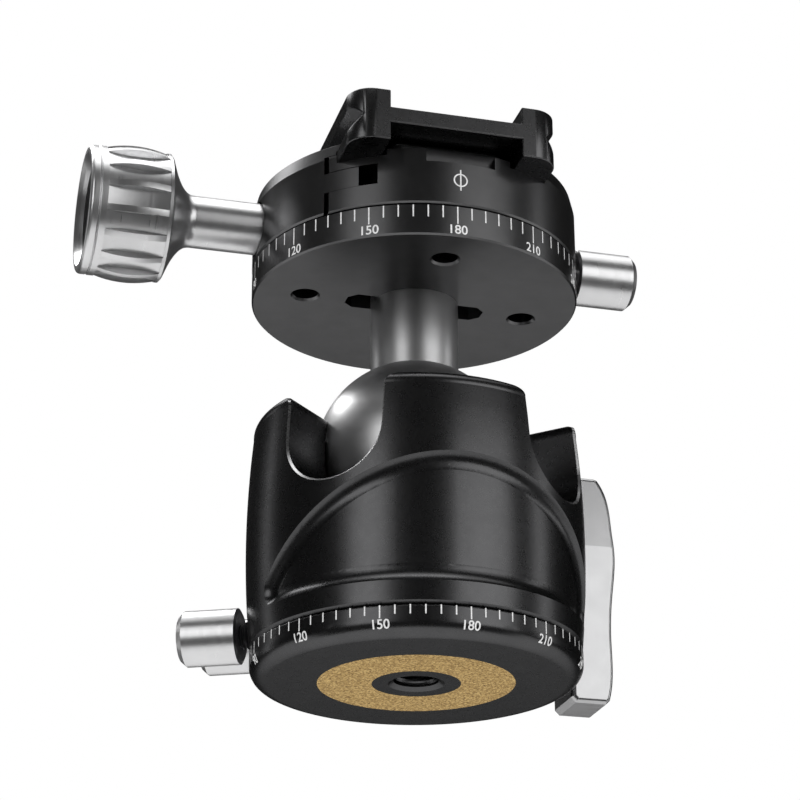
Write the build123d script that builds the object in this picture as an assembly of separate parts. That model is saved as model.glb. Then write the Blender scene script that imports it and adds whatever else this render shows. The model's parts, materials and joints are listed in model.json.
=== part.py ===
from build123d import *
from math import asin, cos, pi, radians, sin, sqrt
import os

# Ball head for a camera tripod: a panning base, a barrel housing with four notches, a ball with its stem, and a
# panning quick-release clamp with a dovetail plate. Millimetres. The origin is the centre of the base's underside,
# +Z points up and the front of the housing looks along -Y.

# ---------------------------------------------------------------- sizes of the base
base_t = 5.0                 # thickness of the base ring
base_round = 2.7             # rounding of its lower edge
cork_in_r, cork_out_r = 7.75, 17.2
cork_t = 0.95
tripod_r = 4.0               # 3/8"-16 hole, at the thread's crest
tripod_mouth_r, tripod_mouth_t = 4.9, 0.6
tripod_depth = 11.0
hub_r = 8.0
washer_t = 0.6
washer_proud = 0.2
washer_in_r = 12.0
washer_rim = 7.0             # base's edge to the washer's
floor_t = 3.0
collar_r = 11.0
collar_t = 5.6
collar_lid = 1.7
groove_depth = 1.3

# ---------------------------------------------------------------- sizes of the housing and the ball
ball_r = 18.0
ball_gap = 0.05              # running clearance of the ball in its seat and under the lip
bore_gap = 0.3               # bore below the ball's widest section
barrel_wall = 10.7
belly = 0.96                 # how far the barrel's middle stands out
rim_above_ball = 5.3         # rim over the ball's centre
notch_r = 9.25
notch_drop = 3.95            # notch's round bottom, centre under the ball's centre
notch_flare = 2.4            # rounding of the corners where a notch opens at the rim
notch_break = 0.4            # chamfer along a notch's outer edge
foot_edge = 0.6              # chamfer round the housing's foot
relief_half_w = 28.6         # arched relief on the front
relief_peak = 32.0
relief_low = 9.05
relief_depth = 1.3
relief_cove = 3.0            # ball-nosed cutter that leaves the cove round the relief
cove_dip = 0.05              # it runs this much under the relief's floor
liner_t = 0.7
block_gap = 0.1              # seat block in the bore

# ---------------------------------------------------------------- sizes of the locks
lock_y = 10.5                # main lock: axis along X behind the ball's centre
lock_ball_gap = 3.97         # its axis to the ball's surface
cotter_r = 5.4
cotter_gap = 0.1
cotter_split = 3.0
cotter_short = 5.3           # cotters' outer ends inside the bore's radius
spindle_r = 2.5
lever_t = 10.5
lever_edge = 0.85            # rounding of its long edges
lever_crease = 8.0           # above this height over the axis its upper end thins
lever_taper = 4.0            # by this many degrees on each side
lever_h = 43.4
lever_gap = 0.36             # lever's inner edge to the barrel's widest line
lever_w = 9.3
pan_az = -115.5              # azimuth of the pan lock, 0 at the front, + towards +X
pan_screw_r = 2.0            # its plain inner end
outer_screw_r = 2.5          # threaded outer ends of both locking screws
small_knob_r = 5.0
small_knob_len = 10.9
friction_side = 14.0         # friction screw: parallel to the pan lock, this far to its side
friction_z = 13.0
friction_screw_r = 2.0

# ---------------------------------------------------------------- sizes of the stem and the clamp
stem_r = 8.05
tilt_gap = 0.37              # disc's face to the barrel with the stem laid in a notch
disc_r = 29.95
disc_t = 6.02
slot_w = 5.5                 # slot under the disc that the stem's tongue sits in
slot_half = 12.9
slot_depth = 3.2
access_r = 2.3               # four holes through the disc
access_pcd_r = 20.6
pan_neck_r = 12.0
pan_flange_r = 15.0
pan_neck_t = 2.2
pan_flange_t = 3.35
retainer_r = 23.0
clamp_r = 30.0
seam = 0.15                  # disc to clamp
clamp_h = 10.7               # clamp body up to its front rim
groove_floor = 9.5           # clamp body's underside to the floor under the plate's rails
jaw_h = 13.8                 # clamp body's underside to the jaws' top
jaw_split = 21.7             # split between body and moving jaw
land_back = 2.6              # land's ends and the front notch, in from the rim
split_gap = 0.7
dovetail_lip = 1.85          # how far the jaws reach over the plate's flanks
clamp_screw_r = 2.5
clamp_screw_up = 6.0         # screw axis over the clamp body's underside
knob_neck_r = 4.76
knob_r = 12.4
knob_band_r = 11.75
knob_floor_r = 11.1           # between the ribs, at the middle
knob_ribs = 16
rib_w = 1.15
guide_pin_r = 1.4
guide_pin_y = 11.0
side_knob_r = 5.27
side_knob_len = 11.5
side_screw_r = 1.5

# ---------------------------------------------------------------- sizes of the plate
plate_w = 38.0
plate_len = 66.4
plate_h = 9.8
plate_shift = -1.2           # plate's centre line along X
rail_w = 7.0
web_low, web_high = 3.45, 6.45
vee_up = 4.75                # V flank's apex over the plate's underside
vee_depth = 2.3
camera_r = 3.175             # 1/4"-20 screw
camera_neck_r = 2.6          # its neck in the plate, thinner than the thread, keeps it captive
camera_proud = 4.6           # how far it stands out of the plate

# ---------------------------------------------------------------- general clearances
run = 0.05                   # shafts and threads
free = 0.35                  # round parts that must not touch


def rod(r, a, b):
    """Round bar of radius r from point a to point b."""
    a, b = Vector(*a), Vector(*b)
    bar = Cylinder(r, (b - a).length, align=(Align.CENTER, Align.CENTER, Align.MIN))
    return Plane(origin=a, z_dir=b - a) * bar


def post(r, z0, z1, x=0.0, y=0.0):
    return rod(r, (x, y, z0), (x, y, z1))


def ring(r_in, r_out, z0, z1):
    return post(r_out, z0, z1) - post(r_in, z0 - 1, z1 + 1)


def turned(points, origin=(0, 0, 0), axis=(0, 0, 1)):
    """Body turned from a profile of (radius, height) points, standing on origin along axis."""
    face = make_face(Polyline(*[(r, 0, h) for r, h in points], close=True))
    return Plane(origin=origin, z_dir=axis) * revolve(face, Axis.Z)


def block(x0, x1, y0, y1, z0, z1):
    box = Box(x1 - x0, y1 - y0, z1 - z0)
    return Pos((x0 + x1) / 2, (y0 + y1) / 2, (z0 + z1) / 2) * box


def ball(r, z):
    return Pos(0, 0, z) * Sphere(r)


def heading(az):
    """Unit vector at an azimuth, and the one 90 degrees on."""
    a = radians(az)
    return Vector(sin(a), -cos(a), 0), Vector(cos(a), sin(a), 0)


def at_azimuth(az, r):
    return r * sin(radians(az)), -r * cos(radians(az))


# ================================================================ base
base_r = ball_r + bore_gap + barrel_wall
foot_z = base_t + washer_proud               # housing's underside
floor_r = base_r - 4.5
washer_out_r = base_r - washer_rim
floor_top = foot_z + floor_t
collar_low = floor_top + 0.1
collar_top = collar_low + collar_t
brake_z = collar_low + 2.15
hub_top = collar_top - collar_lid

outline = Polyline(
    (0, 0, 0), (base_r, 0, 0), (base_r, 0, base_t), (hub_r, 0, base_t), (hub_r, 0, hub_top), (0, 0, hub_top),
    close=True,
)
base_plate = revolve(make_face(outline), Axis.Z)
lower_edge = base_plate.edges().filter_by(GeomType.CIRCLE).sort_by(Axis.Z)[0]
base_plate = fillet(lower_edge, base_round)
outer_edges = base_plate.edges().filter_by(GeomType.CIRCLE).filter_by(lambda e: e.radius > base_r - 0.01)
base_plate = chamfer(outer_edges.sort_by(Axis.Z)[-1], 0.25)
base_plate -= ring(cork_in_r, cork_out_r, -1, cork_t)
base_plate -= ring(washer_in_r, washer_out_r, base_t + washer_proud - washer_t, base_t + 1)
tripod_cut = turned([
    (0, -1), (tripod_mouth_r, -1), (tripod_mouth_r, 0), (tripod_r, tripod_mouth_t),
    (tripod_r, tripod_depth), (0, tripod_depth),
])
base_plate -= tripod_cut

cork_pad = ring(cork_in_r, cork_out_r, 0, cork_t)
slip_washer = ring(washer_in_r, washer_out_r, foot_z - washer_t, foot_z)

# The collar caps the hub, so that the housing's floor plate is held between it and the washer. Its V groove takes the
# point of the pan lock.
brake_collar = turned([
    (hub_r, collar_low), (collar_r, collar_low), (collar_r, brake_z - groove_depth),
    (collar_r - groove_depth, brake_z), (collar_r, brake_z + groove_depth), (collar_r, collar_top),
    (0, collar_top), (0, hub_top), (hub_r, hub_top),
])
collar_screw_r, collar_head_r, collar_head_t = 1.0, 1.9, 1.0
collar_screws = []
for az in (30, 150, 270):
    x, y = at_azimuth(az, (tripod_r + hub_r) / 2)
    screw = post(collar_screw_r, collar_low, collar_top - 0.5, x, y)
    screw += post(collar_head_r, collar_top - collar_head_t, collar_top - 0.1, x, y)
    brake_collar -= screw
    brake_collar -= post(collar_head_r, collar_top - collar_head_t, collar_top + 1, x, y)
    base_plate -= screw
    collar_screws.append(screw)

# ================================================================ housing and what it holds
bore_r = ball_r + bore_gap
seat_r = ball_r + ball_gap
block_r = bore_r - block_gap
block_floor = collar_top + 0.5
cotter_bore_r = cotter_r + cotter_gap
lock_z = block_floor + 2.4 + cotter_bore_r
ball_z = lock_z + sqrt((ball_r + lock_ball_gap) ** 2 - lock_y**2)
rim_z = ball_z + rim_above_ball
belly_r = base_r + belly
notch_z = ball_z - notch_drop
pan_dir, pan_side = heading(pan_az)

# Outer barrel: it swells from the foot to the belly and draws in again under the rounded rim.


def barrel_flank(back):
    low, high = foot_z + foot_edge, rim_z - 2.3
    return ThreePointArc(
        (base_r - back, 0, low), (belly_r - back, 0, foot_z + 18.8), (base_r - 0.05 - back, 0, high)
    )


def barrel_solid(back):
    """The barrel's turned outer shape, set back by a depth."""
    flank = barrel_flank(back)
    r = base_r - back
    rim_round = ThreePointArc(flank @ 1, (r - 0.55, 0, rim_z - 0.6), (r - 1.7, 0, rim_z))
    rest = Polyline(rim_round @ 1, (0, 0, rim_z), (0, 0, foot_z), (r - foot_edge, 0, foot_z), flank @ 0)
    return revolve(make_face(flank + rim_round + rest), Axis.Z)


barrel = barrel_solid(0)
ball_housing = barrel - post(bore_r, floor_top - 1, ball_z) - ball(seat_r, ball_z)
ball_housing -= post(floor_r, foot_z - 1, floor_top)
ball_housing -= ring(0.5, bore_r, floor_top - 1, ball_z)
mouth_r = sqrt(seat_r**2 - rim_above_ball**2)
ball_housing -= turned([
    (0, rim_z - 1.2), (mouth_r, rim_z - 1.2), (mouth_r + 1.6, rim_z + 0.4), (0, rim_z + 0.4),
])

# Four U notches, open at the rim with rounded corners, where the stem can be laid down. Their outer edges are broken.
side = Polyline((-notch_r, notch_z), (-notch_r, rim_z - notch_flare))
flare_l = RadiusArc(side @ 1, (-notch_r - notch_flare, rim_z), -notch_flare)
flare_r = RadiusArc((notch_r + notch_flare, rim_z), (notch_r, rim_z - notch_flare), -notch_flare)
over = rim_z + 5
top = Polyline(flare_l @ 1, (-notch_r - notch_flare, over), (notch_r + notch_flare, over), flare_r @ 0)
notch_edge = side + flare_l + top + flare_r
notch_edge += Polyline((notch_r, rim_z - notch_flare), (notch_r, notch_z))
notch_edge += ThreePointArc((notch_r, notch_z), (0, notch_z - notch_r), (-notch_r, notch_z))
notch_face = make_face(Plane.XZ * notch_edge)
notch = extrude(notch_face, belly_r + 5, dir=(0, -1, 0)) - post(ball_r / 2, 0, rim_z + 9)
notch_az = (-45, 45, 135, -135)
for az in notch_az:
    barrel -= Rot(0, 0, az) * notch


def on_notch_rim(edge):
    """True for an edge between a notch's wall and the barrel's outer face."""
    spots = [edge @ t for t in (0.02, 0.25, 0.5, 0.75, 0.98)]
    if min(sqrt(p.X**2 + p.Y**2) for p in spots) < base_r - 1.75:
        return False
    heights = [p.Z for p in spots]
    return edge.length > 0.5 and max(heights) - min(heights) > 0.001


ball_housing &= chamfer(barrel.edges().filter_by(on_notch_rim), notch_break)

# Arched relief on the front. Its floor is the barrel's surface set back, and a ball-nosed cutter that runs once round
# the outline leaves a cove between that floor and the barrel.
cove_w = sqrt(relief_cove**2 - (relief_cove - cove_dip - relief_depth) ** 2)
low_z = relief_low + cove_w
flank_arc = barrel_flank(0)
flank_r, flank_mid = flank_arc.radius, flank_arc.arc_center


def barrel_at(z):
    return flank_mid.X + sqrt(flank_r**2 - (z - flank_mid.Z) ** 2)


def wrapped(p, r):
    """Point of the flat outline laid round the barrel's front at radius r."""
    return (r * sin(p.X / base_r), -r * cos(p.X / base_r), p.Y)


arch_points = []
for i in range(19):
    a = pi * i / 18
    x = base_r * asin(relief_half_w * cos(a) / (base_r + 0.1))
    arch_points.append((x, relief_low + (relief_peak - relief_low) * sin(a)))
arch = make_face(Spline(*arch_points) + Line(arch_points[-1], arch_points[0]))
inner = offset(arch, -cove_w, kind=Kind.INTERSECTION)
crown = Wire([e for e in inner.edges() if e.geom_type != GeomType.LINE])
crown_points = [crown @ (i / 48) for i in range(49)]
crown_ends = [crown_points[0] - crown % 0, crown_points[-1] + crown % 1]


def wall_line(r):
    return Spline(*[wrapped(p, r) for p in [crown_ends[0]] + crown_points + [crown_ends[1]]])


wall_in, wall_out = base_r - 7, belly_r + 3
wall = Face.make_surface_from_curves(wall_line(wall_in - 1).edges()[0], wall_line(wall_out + 1).edges()[0])
blank = post(wall_out, low_z, relief_peak + 6) - post(wall_in, 0, 99)
front_of_wall = split(blank, bisect_by=wall, keep=Keep.ALL).solids().sort_by(Axis.Y)[0]
relief_floor = front_of_wall - barrel_solid(relief_depth)
cutter_lift = relief_cove - cove_dip - relief_depth
track = Spline(*[wrapped(p, barrel_at(p.Y) + cutter_lift) for p in crown_points])
cove = sweep(Plane(origin=track @ 0, z_dir=track % 0) * Circle(relief_cove), path=track)
az_a, az_b = crown_points[0].X / base_r, crown_points[-1].X / base_r


def low_point(a):
    r = barrel_at(low_z) + cutter_lift
    return Vector(r * sin(a), -r * cos(a), low_z)


low_track = ThreePointArc(low_point(az_a), low_point((az_a + az_b) / 2), low_point(az_b))
low_cove = sweep(Plane(origin=low_track @ 0, z_dir=low_track % 0) * Circle(relief_cove), path=low_track)
ball_housing -= relief_floor
ball_housing -= cove
ball_housing -= low_cove
for spot in (low_point(az_a), low_point(az_b)):
    ball_housing -= Pos(*spot) * Sphere(relief_cove)

floor_plate = ring(hub_r + 0.08, floor_r, foot_z, floor_top)
floor_screws = []
floor_screw_ring = (bore_r + floor_r) / 2 + 0.4
for az in notch_az:
    x, y = at_azimuth(az, floor_screw_ring)
    screw = turned([(0, 0), (2.4, 0), (1.25, 1.2), (1.25, 8), (0, 8)], origin=(x, y, foot_z + 0.2))
    floor_plate -= screw + post(2.4, foot_z - 1, foot_z + 0.2, x, y)
    ball_housing -= screw
    floor_screws.append(screw)

# Seat block under the ball: a skirt that stands on the floor plate, the lock's cross bore and the liner's bed.
skirt_r = collar_r + 2.0
bed_r = seat_r + liner_t
bed_top = ball_z - bed_r * 0.72
seat_block = post(block_r, floor_top, bed_top) - post(skirt_r, floor_top - 1, block_floor) - ball(bed_r, ball_z)
cotter_len = bore_r - cotter_short - cotter_split / 2
cotter_end = cotter_split / 2 + cotter_len
cross_bore = rod(cotter_bore_r, (-cotter_end - 1.5, lock_y, lock_z), (cotter_end, lock_y, lock_z))
seat_block -= cross_bore
ball_housing -= cross_bore
seat_block -= rod(spindle_r + free, (0, lock_y, lock_z), (99, lock_y, lock_z))

liner_low = ball_z - ball_r + 0.6
seat_liner = ball(bed_r, ball_z) - ball(seat_r, ball_z)
seat_liner &= post(block_r, liner_low, bed_top)
seat_liner -= rod(cotter_bore_r + 0.25, (-99, lock_y, lock_z), (99, lock_y, lock_z))

# Split cotter: two plugs in the cross bore, scalloped to the ball, that the spindle draws together.
scallop = ball(ball_r + free, ball_z)
split = cotter_split / 2
fixed_cotter = rod(cotter_r, (split, lock_y, lock_z), (split + cotter_len, lock_y, lock_z)) - scallop
fixed_cotter -= rod(spindle_r + free, (0, lock_y, lock_z), (99, lock_y, lock_z))
moving_cotter = rod(cotter_r, (-split, lock_y, lock_z), (-split - cotter_len, lock_y, lock_z)) - scallop
moving_cotter -= rod(spindle_r + run, (-99, lock_y, lock_z), (0, lock_y, lock_z))
cotter_ring = rod(spindle_r + 1.0, (split - 2.4, lock_y, lock_z), (split, lock_y, lock_z))
cotter_ring -= rod(spindle_r + free, (-9, lock_y, lock_z), (9, lock_y, lock_z))

# Main lock: spindle, washer and the blade lever on the right side.
lever_x = belly_r + lever_gap
seat_x = sqrt(belly_r**2 - (lock_y + 5) ** 2) - 0.4          # bottom of the lever's counterbore
lever_boss_r, lever_bore_r = 4.5, 5.0
lock_spindle = rod(spindle_r, (-split - cotter_len - 0.5, lock_y, lock_z), (lever_x + 5.5, lock_y, lock_z))
thrust_washer = rod(lever_bore_r - 0.35, (seat_x, lock_y, lock_z), (seat_x + 1, lock_y, lock_z))
thrust_washer -= rod(spindle_r + free, (0, lock_y, lock_z), (99, lock_y, lock_z))
ball_housing -= rod(lever_bore_r, (seat_x, lock_y, lock_z), (99, lock_y, lock_z))
ball_housing -= rod(spindle_r + run, (0, lock_y, lock_z), (99, lock_y, lock_z))

half_h = lever_h / 2
edge_out = Spline(
    (lever_x + 6.6, lock_z + half_h - 0.2), (lever_x + 8.1, lock_z + half_h - 3.2), (lever_x + 9.0, lock_z + 11),
    (lever_x + lever_w, lock_z + 6.5), (lever_x + 8.6, lock_z - 1), (lever_x + 8.05, lock_z - 9),
    (lever_x + 7.9, lock_z - half_h + 3.6), (lever_x + 7.3, lock_z - half_h + 0.7),
)
edge_in = Polyline(
    edge_out @ 1, (lever_x + 6.6, lock_z - half_h), (lever_x + 0.9, lock_z - half_h), (lever_x, lock_z - half_h + 0.9),
    (lever_x, lock_z + half_h - 0.9), (lever_x + 0.9, lock_z + half_h), (lever_x + 5.9, lock_z + half_h), edge_out @ 0,
)
blade_face = make_face(Plane.XZ * (edge_out + edge_in))
lock_lever = extrude(Pos(0, lock_y - lever_t / 2, 0) * blade_face, lever_t, dir=(0, 1, 0))
# The upper end thins on both sides above a crease.
crease_z = lock_z + lever_crease
for s in (-1, 1):
    tilted = Pos(lever_x, lock_y + s * lever_t / 2, crease_z) * Rot(s * lever_taper, 0, 0)
    lock_lever -= tilted * Pos(0, s * 10, 20) * Box(60, 20, 40)


def on_lever_outline(edge):
    return abs((edge @ 0).Z - crease_z) + abs((edge @ 1).Z - crease_z) > 0.01


lever_sides = lock_lever.faces().filter_by(lambda f: abs(f.normal_at().Y) > 0.9)
lock_lever = fillet(lever_sides.edges().filter_by(on_lever_outline), lever_edge)
lock_lever += rod(lever_boss_r, (seat_x + 1, lock_y, lock_z), (lever_x + 2, lock_y, lock_z))
lever_screw = rod(2.3, (lever_x + 5.5, lock_y, lock_z), (lever_x + 7.4, lock_y, lock_z))
lock_lever -= rod(2.5, (lever_x + 5.5, lock_y, lock_z), (99, lock_y, lock_z))
lock_lever -= rod(spindle_r, (0, lock_y, lock_z), (lever_x + 5.5, lock_y, lock_z))


def on_line(side_off, z):
    """Point function along the pan lock's direction, set side_off to its side."""
    def point(d):
        p = pan_dir * d - pan_side * side_off
        return (p.X, p.Y, z)
    return point


def small_knob(point, d0, screw_r, r=small_knob_r, length=small_knob_len):
    """Round knob with bevelled rims, bored for its screw, and the dome of the screw's end."""
    line = Vector(*point(1)) - Vector(*point(0))
    knob = turned([
        (0, 0), (r - 0.7, 0), (r, 0.35), (r, length - 1.0), (r - 0.9, length), (0, length),
    ], origin=point(d0), axis=line)
    knob -= rod(screw_r, point(d0), point(d0 + length - 1.2))
    knob -= rod(2.7, point(d0 + length - 1.2), point(d0 + length + 1))
    cap = turned([(0, 0), (2.6, 0), (2.6, 1.1), (2.0, 1.6), (1.0, 1.95), (0, 2.0)], point(d0 + length - 1.2), line)
    return knob, cap


# Pan lock: knob and screw on a radial line, with a pointed shoe for the collar's groove.
pan_line = on_line(0, brake_z)
pan_knob_d = base_r + 2.3
shoe_tip = collar_r - groove_depth + 0.85
shoe_end = bore_r + 4.0
pan_lock_knob, pan_lock_cap = small_knob(pan_line, pan_knob_d, pan_screw_r)
pan_lock_screw = rod(pan_screw_r, pan_line(shoe_end), pan_line(pan_knob_d + small_knob_len - 1.2))
pan_lock_screw += rod(outer_screw_r, pan_line(floor_r + 0.5), pan_line(pan_knob_d))
shoe_len = shoe_end - shoe_tip
shoe_profile = [(0, 0), (0.5, 0), (pan_screw_r, pan_screw_r - 0.5), (pan_screw_r, shoe_len), (0, shoe_len)]
pan_shoe = turned(shoe_profile, pan_line(shoe_tip), pan_dir)
ball_housing -= rod(pan_screw_r + run, pan_line(bore_r - 3), pan_line(99))
ball_housing -= rod(outer_screw_r + run, pan_line(floor_r + 0.1), pan_line(99))
seat_block -= rod(pan_screw_r + free, pan_line(0), pan_line(99))

# Friction screw: it presses a plastic tip on the seat block's flank.
friction_line = on_line(friction_side, friction_z)
tip_d = sqrt(block_r**2 - friction_side**2) - 2.4
tip_end = tip_d + 5.0
friction_d = base_r + 2.0
friction_knob, friction_cap = small_knob(friction_line, friction_d, friction_screw_r)
friction_screw = rod(friction_screw_r, friction_line(tip_end), friction_line(friction_d + small_knob_len - 1.2))
friction_screw += rod(outer_screw_r, friction_line(tip_end + 4), friction_line(friction_d))
friction_tip = rod(friction_screw_r, friction_line(tip_d), friction_line(tip_end))
ball_housing -= rod(friction_screw_r + run, friction_line(tip_d - 1.0), friction_line(99))
ball_housing -= rod(outer_screw_r + run, friction_line(tip_end + 3.6), friction_line(99))
seat_block -= rod(friction_screw_r + free, friction_line(tip_d - 0.35), friction_line(99))

# ================================================================ ball, stem and disc
disc_low = ball_z + belly_r + tilt_gap
disc_top = disc_low + disc_t
tongue_w = slot_w - 0.3
tongue_h = slot_depth - 0.2
ball_stem = ball(ball_r, ball_z) + post(stem_r, ball_z, disc_low)
tongue = post(stem_r, disc_low - 1, disc_low + tongue_h) & block(-99, 99, -tongue_w / 2, tongue_w / 2, 0, 199)
ball_stem += tongue
bolt_r, bolt_head_r, bolt_head_t = 2.9, 5.0, 2.8
bolt_low = ball_z + 8
neck_top = disc_top + pan_neck_t
flange_top = neck_top + pan_flange_t
bolt_seat = neck_top + 0.35
stem_bolt = post(bolt_r, bolt_low, bolt_seat) + post(bolt_head_r, bolt_seat, bolt_seat + bolt_head_t)
stem_bolt -= extrude(Pos(0, 0, bolt_seat + bolt_head_t) * RegularPolygon(2.4, 6), -1.8)
ball_stem -= post(bolt_r, bolt_low - 1, 199)

clamp_base = post(disc_r, disc_low, disc_top)
clamp_base = chamfer(clamp_base.edges().filter_by(GeomType.CIRCLE), 0.3)
slot_face = make_face(Polyline(
    (-slot_half, slot_w * 0.22), (-slot_half + 1.6, slot_w / 2), (slot_half - 1.6, slot_w / 2),
    (slot_half, slot_w * 0.22), (slot_half, -slot_w * 0.22), (slot_half - 1.6, -slot_w / 2),
    (-slot_half + 1.6, -slot_w / 2), (-slot_half, -slot_w * 0.22), close=True,
))
clamp_base -= extrude(Pos(0, 0, disc_low) * slot_face, slot_depth)
clamp_base -= post(bolt_r, 0, 199)
for az in (0, 90, 180, 270):
    x, y = at_azimuth(az, access_pcd_r)
    clamp_base -= post(access_r, 0, 199, x, y)
    mouth = [(0, -1), (access_r + 0.4, -1), (access_r + 0.4, 0), (access_r, 0.4), (0, 0.4)]
    clamp_base -= turned(mouth, (x, y, disc_low))

# The clamp turns on a flanged hub that the stem's bolt holds on the disc. A ring screwed in from below runs under the
# flange and keeps the clamp on.
hub_mid = neck_top + 0.05 + (pan_flange_t - 0.05) / 2
vee = 1.2
pan_hub = turned([
    (0, disc_top), (pan_neck_r, disc_top), (pan_neck_r, neck_top), (pan_flange_r, neck_top),
    (pan_flange_r, hub_mid - vee), (pan_flange_r - vee, hub_mid), (pan_flange_r, hub_mid + vee),
    (pan_flange_r, flange_top), (0, flange_top),
])
pan_hub -= post(bolt_r, 0, 199) + post(bolt_head_r + 0.2, bolt_seat, 199)

clamp_low = disc_top + seam
retainer_top = neck_top - 0.1
pan_retainer = ring(pan_neck_r + run, retainer_r, clamp_low, retainer_top)
retainer_screws = []
for az in notch_az:
    x, y = at_azimuth(az, access_pcd_r)
    screw = post(1.0, clamp_low + 0.1, clamp_low + 7.0, x, y)
    screw += post(1.6, clamp_low + 0.1, clamp_low + 1.1, x, y)
    pan_retainer -= screw
    retainer_screws.append(screw)

# ================================================================ clamp
rail_floor = clamp_low + groove_floor
rim_top = clamp_low + clamp_h
jaw_top = clamp_low + jaw_h
screw_z = clamp_low + clamp_screw_up
side_z = hub_mid
plate_l = plate_shift - plate_w / 2
plate_r = plate_shift + plate_w / 2
vee_low = rail_floor + vee_up - vee_depth
split_body = -jaw_split + split_gap / 2
split_jaw = -jaw_split - split_gap / 2
land_half = plate_w / 2 - rail_w - 1.65
land_step = land_half + 0.85                  # rails' channels end here
flange_bore = pan_flange_r + free

puck = turned([
    (0, clamp_low), (clamp_r - 0.3, clamp_low), (clamp_r, clamp_low + 0.3), (clamp_r, rim_top),
    (clamp_r - 0.6, jaw_top - 0.4), (clamp_r - 1.1, jaw_top), (0, jaw_top),
])

# Fixed jaw, on the right: its lip leans over the plate's flank at 45 degrees.
lip = dovetail_lip
fixed_face = plate_r + run
jaw_gap_face = make_face(Plane.XZ * Polyline(
    (split_body - 9, rim_top + 0.5), (split_body - 9, 199), (fixed_face - lip, 199), (fixed_face - lip, vee_low + lip),
    (fixed_face, vee_low), (fixed_face, rail_floor), (plate_shift + land_step, rail_floor),
    (plate_shift + land_step, rim_top), (plate_shift - land_step, rim_top), (plate_shift - land_step, rail_floor),
    (plate_l - run, rail_floor), (plate_l - run, rim_top + 0.5), close=True,
))
clamp_body = puck & block(split_body, 99, -99, 99, 0, 199)
clamp_body -= extrude(Pos(0, -99, 0) * jaw_gap_face, 198, dir=(0, 1, 0))
# Land between the rails, with a groove along it that the camera screw's head passes through.
land_top = rail_floor + web_low - 0.15
land_plan = RectangleRounded(2 * land_half, 2 * (clamp_r - land_back), 2.0)
land = extrude(Pos(plate_shift, 0, rim_top - 0.5) * land_plan, land_top - rim_top + 0.5)
land = fillet(land.faces().sort_by(Axis.Z)[-1].edges(), 1.2)
clamp_body += puck & land
screw_head_r, screw_head_t = 7.0, 2.6
head_half = screw_head_r + 0.75
head_floor = land_top - screw_head_t - 0.15
clamp_body -= block(plate_shift - head_half, plate_shift + head_half, 0, 99, head_floor, 199)
clamp_body -= post(head_half, head_floor, 199, plate_shift, 0)
clamp_body -= block(-5.8, 6.9, -99, -clamp_r + land_back, rim_top - 2.5, 199)
clamp_body -= post(retainer_r, clamp_low - 1, retainer_top)
clamp_body -= post(flange_bore, clamp_low - 1, flange_top + 0.3)
for screw in retainer_screws:
    clamp_body -= screw

# Moving jaw, on the left. Its guide tongues run in slots at the front and back; two pins and the screw lie between.
tongue_low, tongue_high, tongue_len = clamp_low + 4.1, clamp_low + 7.85, 5.15
jaw_hook = vee_low - 0.65
hook_face = make_face(Plane.XZ * Polyline(
    (-99, clamp_low - 1), (split_jaw, clamp_low - 1), (split_jaw, jaw_hook), (plate_l - 2 * run, jaw_hook),
    (plate_l - 2 * run, vee_low), (plate_l - 2 * run + lip, vee_low + lip), (plate_l - 2 * run + lip, 199), (-99, 199),
    close=True,
))
moving_jaw = puck & extrude(Pos(0, -99, 0) * hook_face, 198, dir=(0, 1, 0))
tongues = block(split_jaw - 1, split_jaw + tongue_len, -99, -17.5, tongue_low, tongue_high)
tongues += block(split_jaw - 1, split_jaw + tongue_len, 17.5, 99, tongue_low, tongue_high)
moving_jaw += puck & tongues
slots = block(split_body - 1, split_jaw + tongue_len + 3, -99, -17.4, tongue_low - 0.05, tongue_high + 0.15)
slots += block(split_body - 1, split_jaw + tongue_len + 3, 17.4, 99, tongue_low - 0.05, tongue_high + 0.15)
clamp_body -= slots
moving_jaw -= post(retainer_r + 3.0, clamp_low - 1, retainer_top + 0.2)

neck_seat = -clamp_r + 1.5
moving_jaw -= rod(knob_neck_r + free, (neck_seat, 0, screw_z), (-99, 0, screw_z))
moving_jaw -= rod(clamp_screw_r + free, (0, 0, screw_z), (-99, 0, screw_z))
screw_end = -flange_bore - 1.3
clamp_body -= rod(clamp_screw_r + run, (screw_end, 0, screw_z), (-99, 0, screw_z))
jaw_pins = []
jaw_springs = []
spring_r, spring_wire = 2.1, 0.3
spring_end = split_body + 3.4
for y in (-guide_pin_y, guide_pin_y):
    pin = rod(guide_pin_r, (split_jaw - 4, y, screw_z), (split_body + 6, y, screw_z))
    moving_jaw -= pin
    clamp_body -= rod(guide_pin_r + run, (-99, y, screw_z), (split_body + 6.6, y, screw_z))
    clamp_body -= rod(spring_r + spring_wire + 0.2, (-99, y, screw_z), (spring_end, y, screw_z))
    coil = rod(spring_r + spring_wire, (split_body + 0.1, y, screw_z), (spring_end, y, screw_z))
    coil -= rod(spring_r - spring_wire, (-99, y, screw_z), (99, y, screw_z))
    jaw_pins.append(pin)
    jaw_springs.append(coil)

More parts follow.
